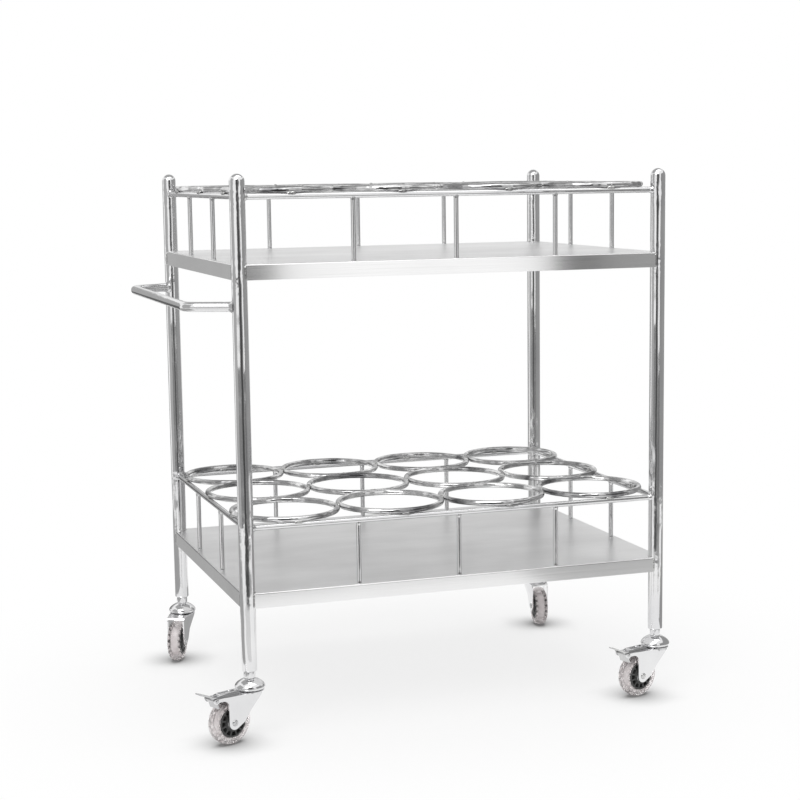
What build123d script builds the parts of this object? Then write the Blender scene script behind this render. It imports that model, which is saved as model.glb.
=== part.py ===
from build123d import *
import os
from math import acos, atan2, cos, degrees, hypot, pi, radians, sin, tan

os.makedirs("parts", exist_ok=True)

# Hot water flask trolley: two shelves on four posts, each with a guard rail and a rack of rings.
# Millimetres, +Z up. The origin is on the floor, midway between the four posts.
# +X runs along the trolley away from the push handle, -Y is the front.

# Flask racks
ring_columns = 4
ring_rows = 3
ring_inner_diameter = 165.0
ring_wire_diameter = 9.5

# Posts, rails and balusters
post_diameter = 25.0
post_wall = 1.2
rail_diameter = 9.5
rail_height = 105.0
post_above_rail = 36.0
baluster_diameter = 8.0
long_side_baluster_spacing = 175.0
short_end_baluster_spacing = 181.0

# Shelves, folded from sheet
lower_shelf_rise = 128.7
shelf_spacing = 527.0
shelf_sheet = 1.2
skirt_depth = 25.0
skirt_inset = 2.2
lip_width = 10.0
fold_bevel = 1.6
stiffener_width = 60.0
stiffener_depth = 18.0
stiffener_flange = 15.0

# Push handle
handle_diameter = 16.0
handle_drop = 66.5
handle_reach = 78.0
handle_lean = 38.0
handle_bend_radius = 28.0

# Caster wheels
wheel_diameter = 75.0
tyre_width = 24.0
tyre_depth = 12.5
tyre_shoulder = 5.5
hub_width = 22.0
hub_rim_depth = 3.2
hub_windows = 12
hub_rib = 2.8
hub_boss_diameter = 28.0
hub_boss_width = 26.0
hub_boss_step = 1.2
bearing_diameter = 22.0
axle_diameter = 8.0
axle_head_diameter = 10.4
axle_head_height = 1.8

# Caster forks, pressed from sheet
caster_trail = 43.0
wheel_head_room = 4.5
wheel_side_room = 0.8
fork_sheet = 2.5
fork_seat_diameter = 47.0
fork_shoulder_width = 43.0
fork_shoulder_length = 12.0
fork_shoulder_top = 6.0
fork_shoulder_drop = 24.0
fork_front = 8.0
fork_eye_radius = 11.0
fork_knee_ahead = 20.0
fork_knee_drop = 1.5
hood_depth = 5.5
hood_fillet = 9.0
hood_ease = 6.0
ear_width = 28.0
ear_taper = 8.0
ear_radius = 5.5
swivel_angle = {"front_left": 203.4, "front_right": 197.8, "rear_left": 244.3, "rear_right": 259.1}

# Swivel heads
swivel_cap_diameter = 50.0
swivel_cap_height = 18.0
swivel_cap_skirt = 5.0
swivel_cap_rim = 4.6
swivel_cap_neck = 16.0
# Points on the dome above the skirt: share of the height, share of the width beyond the neck
swivel_cap_dome = ((0.62, 0.80), (0.86, 0.42))
stem_diameter = 12.0
stem_engagement = 24.0
kingpin_diameter = 10.0
kingpin_head_diameter = 17.0
kingpin_head_height = 3.0
jam_nut_across_flats = 17.0
jam_nut_height = 12.0
plug_length = 30.0

# Foot brakes, on the front casters
braked_corners = ("front_left", "front_right")
brake_pivot_angle = 37.7
brake_pivot_stand_off = 15.6
brake_press_angle = 20.0
brake_pin_diameter = 4.0
brake_pin_head_diameter = 6.4
brake_pin_head_height = 1.2
brake_barrel_radius = 4.2
brake_tab_sheet = 2.5
pedal_angle = 22.0
pedal_length = 31.0
pedal_sheet = 2.0
pedal_tip_width = 16.0
pedal_tip_corner = 4.0
pedal_flange_length = 14.0
pedal_flange_depth = 4.0
spring_sheet = 1.0
spring_width = 14.0
spring_flange = 4.5
spring_front_gap = 2.0
spring_end_gap = 1.5
spring_rivet_diameter = 6.0
spring_rivet_height = 1.4
spring_rivet_setback = 6.0

# Fits and clearances
weld_gap = 0.1
seat_fit = 0.05
running_fit = 0.06
bolt_clearance = 0.1
swivel_gap = 0.3
pedal_side_gap = 0.5
pedal_end_gap = 1.0
brake_gap = 0.35

# Round pieces are many-sided: flats in each quarter turn
quarter_flats = {
    "post": 4,
    "ring": 4,
    "rail": 2,
    "baluster": 2,
    "handle": 2,
    "wheel": 6,
    "hub": 3,
    "bearing": 3,
    "axle": 2,
    "stem": 2,
    "cap": 4,
    "eye": 3,
    "pin": 2,
}
dome_tilts = (0, 38, 72)

# Frame sizes that follow from the rings
ring_wire_radius = ring_wire_diameter / 2
ring_radius = ring_inner_diameter / 2 + ring_wire_radius
ring_pitch = ring_inner_diameter + 2 * ring_wire_diameter + weld_gap
post_span_x = ring_columns * ring_pitch - ring_wire_diameter
post_span_y = ring_rows * ring_pitch - ring_wire_diameter
half_x = post_span_x / 2
half_y = post_span_y / 2
post_points = {
    "front_left": (-half_x, -half_y),
    "front_right": (half_x, -half_y),
    "rear_left": (-half_x, half_y),
    "rear_right": (half_x, half_y),
}

# Heights, from the floor up
wheel_radius = wheel_diameter / 2
plate_under = wheel_diameter + wheel_head_room
plate_top = plate_under + fork_sheet
cap_bottom = plate_top + swivel_gap
cap_top = cap_bottom + swivel_cap_height
post_foot = cap_top + jam_nut_height
lower_shelf_top = post_foot + lower_shelf_rise
upper_shelf_top = lower_shelf_top + shelf_spacing
shelf_tops = {"lower": lower_shelf_top, "upper": upper_shelf_top}
post_radius = post_diameter / 2
post_top = upper_shelf_top + rail_height + post_above_rail
tube_top = post_top - post_radius
rail_radius = rail_diameter / 2
ring_rise = rail_height + rail_radius + weld_gap + ring_wire_radius
handle_height = upper_shelf_top - handle_drop
handle_radius = handle_diameter / 2

# Shelf outline
skirt_reach = post_radius - skirt_inset
shelf_length = post_span_x + 2 * skirt_reach
shelf_width = post_span_y + 2 * skirt_reach

# Caster widths, measured from the middle of the wheel
hub_radius = wheel_radius - tyre_depth
fork_inner_half = hub_boss_width / 2 + wheel_side_room
fork_outer_half = fork_inner_half + fork_sheet
axle_radius = axle_diameter / 2
stem_radius = stem_diameter / 2
kingpin_radius = kingpin_diameter / 2
pin_radius = brake_pin_diameter / 2

# Brake pivot, placed round the wheel; pressed, the tab points straight at the axle
pivot_distance = wheel_radius + brake_pivot_stand_off
pivot_trail = caster_trail + pivot_distance * sin(radians(brake_pivot_angle))
pivot_height = wheel_radius + pivot_distance * cos(radians(brake_pivot_angle))
tyre_corner_radius = wheel_radius / cos(radians(45 / quarter_flats["wheel"]))
brake_tab_length = pivot_distance - tyre_corner_radius - brake_gap
ear_half = ear_width / 2
hood_end = pivot_trail - brake_barrel_radius - pedal_end_gap


def keep(piece, name):
    piece.part.label = name
    export_step(piece.part, f"parts/{name}.step")


def many_sided(radius, kind, mode=Mode.ADD):
    # Flats touch the radius and face both axes of the sketch
    sides = 4 * quarter_flats[kind]
    RegularPolygon(radius, sides, major_radius=False, rotation=180 / sides, mode=mode)


def turning_section(radius, kind, mode=Mode.ADD):
    # Corners touch the radius, so the piece turns freely in a many-sided hole
    sides = 4 * quarter_flats[kind]
    RegularPolygon(radius, sides, rotation=180 / sides, mode=mode)


def hexagon(across_flats):
    RegularPolygon(across_flats / 2, 6, major_radius=False)


def stack_bands(plane, point, profile, kind):
    # Dome made of tapered bands, one between each two heights of its profile
    for (low, wide), (high, narrow) in zip(profile, profile[1:]):
        with BuildSketch(plane.offset(low)) as band:
            with Locations(point):
                many_sided(wide, kind)
        extrude(band.sketch, amount=high - low, taper=degrees(atan2(wide - narrow, high - low)))


def make_post(corner):
    with BuildPart() as post:
        with BuildSketch(Plane.XY.offset(post_foot)):
            with Locations(post_points[corner]):
                many_sided(post_radius, "post")
                many_sided(post_radius - post_wall, "post", mode=Mode.SUBTRACT)
        extrude(amount=tube_top - post_foot)
    keep(post, f"post_{corner}")


def make_post_caps():
    # Half-round domes, cut flat at the very top
    last = radians(dome_tilts[-1])
    profile = [
        (post_radius * sin(radians(tilt)) / sin(last), post_radius * cos(radians(tilt)))
        for tilt in dome_tilts
    ]
    with BuildPart() as caps:
        for point in post_points.values():
            stack_bands(Plane.XY.offset(tube_top), point, profile, "post")
    keep(caps, "post_caps")


def make_post_plugs():
    with BuildPart() as plugs:
        with BuildSketch(Plane.XY.offset(post_foot)):
            with Locations(*post_points.values()):
                turning_section(post_radius - post_wall - seat_fit, "stem")
                many_sided(stem_radius + seat_fit, "stem", mode=Mode.SUBTRACT)
        extrude(amount=plug_length)
    keep(plugs, "post_plugs")


def make_shelf(level):
    bottom = shelf_tops[level] - skirt_depth
    corner_cut = 2 * post_diameter
    corners = [
        (x + (corner_cut / 2 if x > 0 else -corner_cut / 2), y + (corner_cut / 2 if y > 0 else -corner_cut / 2))
        for x, y in post_points.values()
    ]
    with BuildPart() as shelf:
        # Folded pan with an eased top edge
        with BuildSketch(Plane.XY.offset(bottom)):
            Rectangle(shelf_length, shelf_width)
        extrude(amount=skirt_depth)
        chamfer(shelf.faces().sort_by(Axis.Z)[-1].edges(), length=fold_bevel)
        offset(amount=-shelf_sheet, openings=shelf.faces().sort_by(Axis.Z)[0])
        # Return lip turned inward at the foot of the skirt
        with BuildSketch(Plane.XY.offset(bottom)):
            Rectangle(shelf_length, shelf_width)
            Rectangle(shelf_length - 2 * lip_width, shelf_width - 2 * lip_width, mode=Mode.SUBTRACT)
        extrude(amount=shelf_sheet)
        # Corners cut back to the posts
        with BuildSketch(Plane.XY.offset(bottom)):
            with Locations(*corners):
                Rectangle(corner_cut, corner_cut)
            with Locations(*post_points.values()):
                many_sided(post_radius + weld_gap, "post")
        extrude(amount=skirt_depth, mode=Mode.SUBTRACT)
    keep(shelf, f"{level}_shelf")


def make_stiffener(level):
    top = shelf_tops[level] - shelf_sheet
    length = shelf_length - 2 * (shelf_sheet + fold_bevel)
    web = stiffener_width / 2 - shelf_sheet / 2
    flange = stiffener_width / 2 + stiffener_flange / 2
    with BuildPart() as stiffener:
        # Hat section, open side up against the shelf
        with BuildSketch(Plane.YZ):
            with Locations((web, top - stiffener_depth / 2), (-web, top - stiffener_depth / 2)):
                Rectangle(shelf_sheet, stiffener_depth)
            with Locations((0, top - stiffener_depth + shelf_sheet / 2)):
                Rectangle(stiffener_width, shelf_sheet)
            with Locations((flange, top - shelf_sheet / 2), (-flange, top - shelf_sheet / 2)):
                Rectangle(stiffener_flange, shelf_sheet)
        extrude(amount=length / 2, both=True)
    keep(stiffener, f"{level}_shelf_stiffener")


def make_rail(level, side):
    height = shelf_tops[level] + rail_height
    lengthwise = side in ("front", "rear")
    plane = Plane.YZ if lengthwise else Plane.XZ
    place = {"front": -half_y, "rear": half_y, "left": -half_x, "right": half_x}[side]
    with BuildPart() as rail:
        with BuildSketch(plane):
            with Locations((place, height)):
                many_sided(rail_radius, "rail")
        extrude(amount=half_x if lengthwise else half_y, both=True)
        # Ends coped to the posts
        with BuildSketch(Plane.XY.offset(height - rail_diameter)):
            with Locations(*post_points.values()):
                many_sided(post_radius + weld_gap, "post")
        extrude(amount=2 * rail_diameter, mode=Mode.SUBTRACT)
    keep(rail, f"{level}_rail_{side}")


def make_balusters(level):
    foot = shelf_tops[level]
    height = foot + rail_height
    long_side = [(i * long_side_baluster_spacing, s * half_y) for i in (-1, 0, 1) for s in (-1, 1)]
    short_end = [(s * half_x, i * short_end_baluster_spacing / 2) for i in (-1, 1) for s in (-1, 1)]
    with BuildPart() as balusters:
        with BuildSketch(Plane.XY.offset(foot)):
            with Locations(*long_side, *short_end):
                many_sided(baluster_diameter / 2, "baluster")
        extrude(amount=rail_height)
        # Tops coped under the rails
        with BuildSketch(Plane.YZ):
            with Locations((-half_y, height), (half_y, height)):
                many_sided(rail_radius + weld_gap, "rail")
        extrude(amount=half_x - post_diameter, both=True, mode=Mode.SUBTRACT)
        with BuildSketch(Plane.XZ):
            with Locations((-half_x, height), (half_x, height)):
                many_sided(rail_radius + weld_gap, "rail")
        extrude(amount=half_y - post_diameter, both=True, mode=Mode.SUBTRACT)
    keep(balusters, f"{level}_balusters")


def make_ring():
    # One flask ring round the origin, its wire six-sided: as wide as the wire in the middle,
    # half as wide at its top and bottom
    slope = degrees(atan2(1, 2))
    with BuildPart() as opening:
        with BuildSketch(Plane.XY.offset(-ring_wire_radius)):
            many_sided(ring_radius - ring_wire_radius / 2, "ring")
        extrude(amount=ring_wire_radius, taper=slope)
        mirror(about=Plane.XY)
    with BuildPart() as ring:
        with BuildSketch():
            many_sided(ring_radius + ring_wire_radius, "ring")
        extrude(amount=ring_wire_radius, taper=slope)
        mirror(about=Plane.XY)
        add(opening.part, mode=Mode.SUBTRACT)
    return ring.part


def make_ring_row(level, row, ring):
    place = {"front": -1, "middle": 0, "rear": 1}[row] * ring_pitch
    height = shelf_tops[level] + ring_rise
    start = -(ring_columns - 1) * ring_pitch / 2
    with BuildPart() as rings:
        with Locations(*[(start + i * ring_pitch, place, height) for i in range(ring_columns)]):
            add(ring)
    keep(rings, f"{level}_rings_{row}")


def make_handle():
    near_y = -half_y + handle_lean
    grip_x = -half_x - handle_reach
    with BuildPart() as handle:
        with BuildLine() as route:
            FilletPolyline(
                (-half_x, -half_y, handle_height),
                (grip_x, near_y, handle_height),
                (grip_x, -near_y, handle_height),
                (-half_x, half_y, handle_height),
                radius=handle_bend_radius,
            )
        with BuildSketch(Plane(origin=route.line @ 0, x_dir=(0, 0, 1), z_dir=route.line % 0)):
            many_sided(handle_radius, "handle")
        sweep()
        # Ends coped to the posts
        with BuildSketch(Plane.XY.offset(handle_height - handle_diameter)):
            with Locations(*post_points.values()):
                many_sided(post_radius + weld_gap, "post")
        extrude(amount=2 * handle_diameter, mode=Mode.SUBTRACT)
        # Stubs left inside the posts
        with BuildSketch(Plane.XY.offset(handle_height - handle_diameter)):
            with Locations((-half_x + post_diameter, 0)):
                Rectangle(2 * post_diameter, 2 * post_span_y)
        extrude(amount=2 * handle_diameter, mode=Mode.SUBTRACT)
    keep(handle, "push_handle")


def caster_planes(corner):
    # Plan, side and front views and wheel face of one caster, turned to its swivel angle
    x, y = post_points[corner]
    along = cos(radians(swivel_angle[corner]))
    across = sin(radians(swivel_angle[corner]))
    plan = Plane(origin=(x, y, 0), x_dir=(along, across, 0), z_dir=(0, 0, 1))
    side = Plane(origin=(x, y, 0), x_dir=(along, across, 0), z_dir=(across, -along, 0))
    front = Plane(origin=(x, y, 0), x_dir=(-across, along, 0), z_dir=(along, across, 0))
    axle = (x + caster_trail * along, y + caster_trail * across, wheel_radius)
    wheel = Plane(origin=axle, x_dir=(along, across, 0), z_dir=(-across, along, 0))
    return plan, side, front, wheel


def make_stems():
    with BuildPart() as stems:
        head_top = plate_under - swivel_gap
        with BuildSketch(Plane.XY.offset(head_top - kingpin_head_height)):
            with Locations(*post_points.values()):
                many_sided(kingpin_head_diameter / 2, "stem")
        extrude(amount=kingpin_head_height)
        with BuildSketch(Plane.XY.offset(head_top)):
            with Locations(*post_points.values()):
                turning_section(kingpin_radius, "stem")
        extrude(amount=cap_bottom - head_top)
        with BuildSketch(Plane.XY.offset(cap_bottom)):
            with Locations(*post_points.values()):
                many_sided(stem_radius, "stem")
        extrude(amount=post_foot + stem_engagement - cap_bottom)
    keep(stems, "caster_stems")


def make_stem_nuts():
    with BuildPart() as nuts:
        with BuildSketch(Plane.XY.offset(cap_top)):
            with Locations(*post_points.values()):
                hexagon(jam_nut_across_flats)
                many_sided(stem_radius + seat_fit, "stem", mode=Mode.SUBTRACT)
        extrude(amount=jam_nut_height)
    keep(nuts, "stem_nuts")


def make_swivel_cap(corner):
    radius = swivel_cap_diameter / 2
    neck = swivel_cap_neck / 2
    profile = [
        (swivel_cap_skirt, radius),
        *[(high * swivel_cap_height, neck + wide * (radius - neck)) for high, wide in swivel_cap_dome],
        (swivel_cap_height, neck),
    ]
    with BuildPart() as cap:
        # Skirt with its lower edge turned in, then the dome
        with BuildSketch(Plane.XY.offset(cap_bottom)):
            with Locations(post_points[corner]):
                many_sided(radius, "cap")
        extrude(amount=swivel_cap_skirt)
        chamfer(cap.faces().sort_by(Axis.Z)[0].edges(), length=swivel_cap_rim)
        stack_bands(Plane.XY.offset(cap_bottom), post_points[corner], profile, "cap")
        # Bore for the stem
        with BuildSketch(Plane.XY.offset(cap_bottom)):
            with Locations(post_points[corner]):
                many_sided(stem_radius + seat_fit, "stem")
        extrude(amount=swivel_cap_height, mode=Mode.SUBTRACT)
    keep(cap, f"swivel_cap_{corner}")


def mirrored(half_outline):
    # Closed outline from its half on the positive side, given as (along, half width)
    return [*half_outline, *[(along, -half) for along, half in reversed(half_outline)]]


def fork_plan(inset):
    # Wide round the swivel seat, narrowing to the legs and again to the ears
    shoulder = fork_shoulder_width / 2 - inset
    leg_edge = caster_trail + fork_eye_radius
    return mirrored([
        (-fork_front - inset, shoulder),
        (fork_shoulder_length, shoulder),
        (leg_edge, fork_outer_half - inset),
        (leg_edge + ear_taper, ear_half - inset),
        (2 * pivot_trail, ear_half - inset),
    ])


def fork_front_view(inset, top):
    # Legs upright beside the wheel, leaning out above it to the shoulders
    high = plate_top - fork_shoulder_top
    legs = mirrored([
        (0, fork_outer_half - inset),
        (high - fork_shoulder_drop, fork_outer_half - inset),
        (high, fork_shoulder_width / 2 - inset),
        (top, fork_shoulder_width / 2 - inset),
    ])
    return [(half, height) for height, half in legs]


def make_fork(corner):
    plan, side, front, wheel = caster_planes(corner)
    braked = corner in braked_corners
    leg_edge = caster_trail + fork_eye_radius
    hood_bottom = plate_top - hood_depth
    # Front edge of the leg runs down to a knee, then to a tangent on the axle eye
    away = hypot(fork_knee_ahead, fork_knee_drop)
    tangent = atan2(-fork_knee_drop, -fork_knee_ahead) + acos(fork_eye_radius / away)
    legs = [
        (leg_edge, wheel_radius),
        (caster_trail, wheel_radius),
        (caster_trail + fork_eye_radius * cos(tangent), wheel_radius + fork_eye_radius * sin(tangent)),
        (caster_trail - fork_knee_ahead, wheel_radius - fork_knee_drop),
        (-fork_front, plate_under),
        (-fork_front, plate_top),
    ]
    # With a brake the hood runs on to the ears that hold the pedal, without one it ends at the legs
    hood_round = hood_fillet * (1 - cos(radians(45)))
    hood = [(leg_edge - hood_ease, plate_top), (leg_edge, plate_top - hood_ease)]
    if braked:
        hood = [
            (pivot_trail, plate_top),
            (pivot_trail, hood_bottom),
            (leg_edge + hood_fillet, hood_bottom),
            (leg_edge + hood_round, hood_bottom - hood_round),
            (leg_edge, hood_bottom - hood_fillet),
        ]
    # Wheel space between the legs, open past the end of the hood
    with BuildPart() as wheel_space:
        with BuildSketch(front.offset(-fork_seat_diameter)):
            Polygon(*fork_front_view(fork_sheet, plate_under))
        extrude(amount=3 * pivot_trail)
        with BuildSketch(plan):
            Polygon(*fork_plan(fork_sheet))
        extrude(amount=2 * plate_top, mode=Mode.INTERSECT)
        with BuildSketch(plan):
            with Locations((hood_end, 0)):
                Rectangle(pivot_trail, 2 * (ear_half - fork_sheet), align=(Align.MIN, Align.CENTER))
        extrude(amount=2 * plate_top)
    with BuildPart() as fork:
        # Legs, hood and ears cut to their side, front and plan views
        with BuildSketch(side):
            Polygon(*legs, *hood)
            with Locations((caster_trail, wheel_radius)):
                many_sided(fork_eye_radius, "eye")
            if braked:
                with Locations((pivot_trail, pivot_height)):
                    many_sided(ear_radius, "pin")
        extrude(amount=fork_shoulder_width, both=True)
        with BuildSketch(front.offset(-fork_seat_diameter)):
            Polygon(*fork_front_view(0, 2 * plate_top))
        extrude(amount=3 * pivot_trail, mode=Mode.INTERSECT)
        with BuildSketch(plan):
            Polygon(*fork_plan(0))
        extrude(amount=2 * plate_top, mode=Mode.INTERSECT)
        add(wheel_space.part, mode=Mode.SUBTRACT)
        # Round seat under the swivel cap, with the kingpin hole
        with BuildSketch(plan.offset(plate_under)):
            many_sided(fork_seat_diameter / 2, "cap")
        extrude(amount=fork_sheet)
        with BuildSketch(plan.offset(plate_under)):
            many_sided(kingpin_radius + running_fit, "stem")
        extrude(amount=fork_sheet, mode=Mode.SUBTRACT)
        # Axle holes, and pin holes where there is a brake
        with BuildSketch(side):
            with Locations((caster_trail, wheel_radius)):
                many_sided(axle_radius + bolt_clearance, "axle")
            if braked:
                with Locations((pivot_trail, pivot_height)):
                    many_sided(pin_radius + seat_fit, "pin")
        extrude(amount=2 * fork_outer_half, both=True, mode=Mode.SUBTRACT)
    keep(fork, f"fork_{corner}")


def make_axle(corner):
    plan, side, front, wheel = caster_planes(corner)
    face = fork_outer_half + seat_fit
    with BuildPart() as axle:
        # Shaft riveted over on both faces of the fork
        with BuildSketch(wheel):
            turning_section(axle_radius, "axle")
        extrude(amount=face, both=True)
        for facing in (1, -1):
            with BuildSketch(wheel.offset(facing * face)):
                many_sided(axle_head_diameter / 2, "axle")
            extrude(amount=facing * axle_head_height)
    keep(axle, f"axle_{corner}")


def make_tyre(corner):
    plan, side, front, wheel = caster_planes(corner)
    with BuildPart() as tyre:
        with BuildSketch(wheel):
            many_sided(wheel_radius, "wheel")
        extrude(amount=tyre_width / 2, both=True)
        chamfer(tyre.faces().sort_by(SortBy.AREA)[-2:].edges(), length=tyre_shoulder)
        with BuildSketch(wheel):
            many_sided(hub_radius + seat_fit, "wheel")
        extrude(amount=tyre_width, both=True, mode=Mode.SUBTRACT)
    keep(tyre, f"tyre_{corner}")


def make_hub(corner):
    plan, side, front, wheel = caster_planes(corner)
    # Windows between ribs of even thickness, from the boss out to the rim
    half_turn = pi / hub_windows
    window = [
        (reach, reach * tan(half_turn) - hub_rib / 2 / cos(half_turn))
        for reach in (hub_boss_diameter / 2 + hub_boss_step, hub_radius - hub_rim_depth)
    ]
    with BuildPart() as hub:
        # Core and boss
        with BuildSketch(wheel):
            many_sided(hub_radius, "wheel")
        extrude(amount=hub_width / 2, both=True)
        with BuildSketch(wheel):
            many_sided(hub_boss_diameter / 2, "hub")
        extrude(amount=hub_boss_width / 2, both=True)
        # Windows, and the bore for the bearing
        with BuildSketch(wheel):
            with PolarLocations(0, hub_windows):
                Polygon(*mirrored(window))
            many_sided(bearing_diameter / 2 + seat_fit, "bearing")
        extrude(amount=hub_boss_width, both=True, mode=Mode.SUBTRACT)
    keep(hub, f"hub_{corner}")


def make_bearing(corner):
    plan, side, front, wheel = caster_planes(corner)
    with BuildPart() as bearing:
        with BuildSketch(wheel):
            many_sided(bearing_diameter / 2, "bearing")
            many_sided(axle_radius + running_fit, "axle", mode=Mode.SUBTRACT)
        extrude(amount=hub_boss_width / 2, both=True)
    keep(bearing, f"bearing_{corner}")


def make_brake(corner):
    plan, side, front, wheel = caster_planes(corner)
    half = ear_half - fork_sheet - pedal_side_gap
    # Places seen from the side: the foot plate, and the tab as it hangs before the press
    pivot = (pivot_trail, pivot_height)
    plate = Location(pivot, pedal_angle)
    tab = Location(pivot, brake_press_angle - brake_pivot_angle)
    under = brake_barrel_radius - pedal_sheet
    flange = [(0, under), (pedal_flange_length, under), (0, under - pedal_flange_depth)]
    tip = pivot_trail + pedal_length * cos(radians(pedal_angle))
    with BuildPart() as pedal:
        # Foot plate with turned-down sides that run out along it
        with BuildSketch(side):
            with Locations(plate):
                Polygon(*flange)
                with Locations((0, under)):
                    Rectangle(pedal_length, pedal_sheet, align=(Align.MIN, Align.MIN))
        extrude(amount=half, both=True)
        with BuildSketch(side):
            with Locations(plate):
                Polygon(*flange)
        extrude(amount=half - pedal_sheet, both=True, mode=Mode.SUBTRACT)
        # Barrel round the pin, and the tab that presses on the tyre
        with BuildSketch(side):
            with Locations(pivot):
                many_sided(brake_barrel_radius, "pin")
            with Locations(tab):
                Rectangle(brake_tab_sheet, brake_tab_length, align=(Align.CENTER, Align.MAX))
        extrude(amount=half, both=True)
        # Foot plate narrows to a tip with cut corners
        with BuildSketch(plan):
            Polygon(*mirrored([
                (caster_trail, half),
                (pivot_trail + ear_radius, half),
                (tip - pedal_tip_corner, pedal_tip_width / 2),
                (tip, pedal_tip_width / 2 - pedal_tip_corner),
            ]))
        extrude(amount=2 * plate_top, mode=Mode.INTERSECT)
        # Hole for the pin
        with BuildSketch(side):
            with Locations(pivot):
                many_sided(pin_radius + running_fit, "pin")
        extrude(amount=2 * half, both=True, mode=Mode.SUBTRACT)
    keep(pedal, f"brake_pedal_{corner}")

    face = ear_half + seat_fit
    with BuildPart() as pin:
        with BuildSketch(side):
            with Locations(pivot):
                turning_section(pin_radius, "pin")
        extrude(amount=face, both=True)
        for facing in (1, -1):
            with BuildSketch(side.offset(facing * face)):
                with Locations(pivot):
                    many_sided(brake_pin_head_diameter / 2, "pin")
            extrude(amount=facing * brake_pin_head_height)
    keep(pin, f"brake_pin_{corner}")


def make_brake_spring(corner):
    plan, side, front, wheel = caster_planes(corner)
    seat = plate_top + seat_fit
    start = swivel_cap_diameter / 2 + spring_front_gap
    edge = spring_width / 2 - spring_sheet / 2
    with BuildPart() as spring:
        # Leaf with turned-up sides, along the top of the hood
        with BuildSketch(front.offset(start)):
            with Locations((0, seat + spring_sheet / 2)):
                Rectangle(spring_width, spring_sheet)
            with Locations((edge, seat + spring_flange / 2), (-edge, seat + spring_flange / 2)):
                Rectangle(spring_sheet, spring_flange)
        extrude(amount=hood_end - spring_end_gap - start)
        # Rivet head that holds it down
        with BuildSketch(plan.offset(seat + spring_sheet)):
            with Locations((start + spring_rivet_setback, 0)):
                many_sided(spring_rivet_diameter / 2, "pin")
        extrude(amount=spring_rivet_height)
    keep(spring, f"brake_spring_{corner}")


flask_ring = make_ring()
for level in shelf_tops:
    make_shelf(level)
    make_stiffener(level)
    make_balusters(level)
    for side_name in ("front", "rear", "left", "right"):
        make_rail(level, side_name)
    for row_name in ("front", "middle", "rear"):
        make_ring_row(level, row_name, flask_ring)
make_post_caps()
make_post_plugs()
make_handle()
make_stems()
make_stem_nuts()
for corner_name in post_points:
    make_post(corner_name)
    make_swivel_cap(corner_name)
    make_fork(corner_name)
    make_axle(corner_name)
    make_tyre(corner_name)
    make_hub(corner_name)
    make_bearing(corner_name)
    if corner_name in braked_corners:
        make_brake(corner_name)
        make_brake_spring(corner_name)
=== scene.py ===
import random
from collections import namedtuple
from math import acos, atan2, ceil, copysign, cos, degrees, hypot, pi, radians, sin, sqrt, tan

import bmesh
import bpy
from mathutils import Matrix, Vector


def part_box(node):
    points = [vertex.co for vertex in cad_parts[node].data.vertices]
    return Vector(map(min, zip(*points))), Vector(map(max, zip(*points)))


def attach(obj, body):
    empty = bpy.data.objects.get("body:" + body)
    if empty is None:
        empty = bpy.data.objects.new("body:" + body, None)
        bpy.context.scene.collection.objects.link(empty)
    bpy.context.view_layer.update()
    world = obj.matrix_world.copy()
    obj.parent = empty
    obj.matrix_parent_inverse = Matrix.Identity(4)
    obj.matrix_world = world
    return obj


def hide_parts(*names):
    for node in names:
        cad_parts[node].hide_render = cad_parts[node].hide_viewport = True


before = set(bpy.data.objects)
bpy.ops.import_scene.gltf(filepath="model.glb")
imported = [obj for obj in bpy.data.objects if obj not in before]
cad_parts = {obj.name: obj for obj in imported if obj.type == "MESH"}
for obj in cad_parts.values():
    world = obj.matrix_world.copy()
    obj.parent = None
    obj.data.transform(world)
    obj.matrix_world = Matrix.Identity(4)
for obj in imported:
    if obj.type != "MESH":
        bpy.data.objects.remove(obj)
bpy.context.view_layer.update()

random.seed(7)
# A millimetre in metres
MM = 0.001
# Points of a cut mesh nearer than this, in millimetres, become one
SLIVER = 0.002

Box = namedtuple("Box", "x y z")
Span = namedtuple("Span", "low high middle half")


def box(node):
    """Where a node lies along each axis at rest, in millimetres."""
    spans = []
    for low, high in zip(*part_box(node)):
        low, high = low / MM, high / MM
        values = (low, high, (low + high) / 2, (high - low) / 2)
        spans.append(Span(*(round(value, 3) for value in values)))
    return Box(*spans)


# Sizes in millimetres that the boxes of the solids give

CORNERS = {}
for corner in ("front_left", "front_right", "rear_left", "rear_right"):
    post_box = box(f"post_{corner}")
    CORNERS[corner] = (post_box.x.middle, post_box.y.middle)
HALF_X, HALF_Y = CORNERS["rear_right"]


def trail_of(kind, corner):
    """Distance and direction in degrees, from above, of a kind of node from its swivel axis."""
    x, y = CORNERS[corner]
    at = box(f"{kind}_{corner}")
    dx, dy = at.x.middle - x, at.y.middle - y
    return round(hypot(dx, dy), 2), round(degrees(atan2(dy, dx)) % 360, 1)


LEVELS = {level: box(f"{level}_shelf").z.high for level in ("lower", "upper")}
POST_R = post_box.x.half
POST_FOOT, TUBE_TOP, *_ = post_box.z
shelf_box = box("upper_shelf")
SHELF_X, SHELF_Y = shelf_box.x.half, shelf_box.y.half
SKIRT = 2 * shelf_box.z.half
rail_box = box("upper_rail_front")
RAIL_R = rail_box.z.half
RAIL_RISE = rail_box.z.middle - LEVELS["upper"]
ring_box = box("upper_rings_rear")
WIRE_R = ring_box.z.half
RING_RISE = round(ring_box.z.middle - LEVELS["upper"], 2)
RING_PITCH = ring_box.y.middle
RING_R = ring_box.y.half - WIRE_R
handle_box = box("push_handle")
HANDLE_R = handle_box.z.half
HANDLE_Z = handle_box.z.middle
HANDLE_X = handle_box.x.low + HANDLE_R
STEM_LOW, STEM_HIGH, *_ = box("caster_stems").z
dome_box = box("swivel_cap_rear_right")
CAP_BOTTOM, CAP_TOP, *_ = dome_box.z
CAP_R = dome_box.x.half
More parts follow.
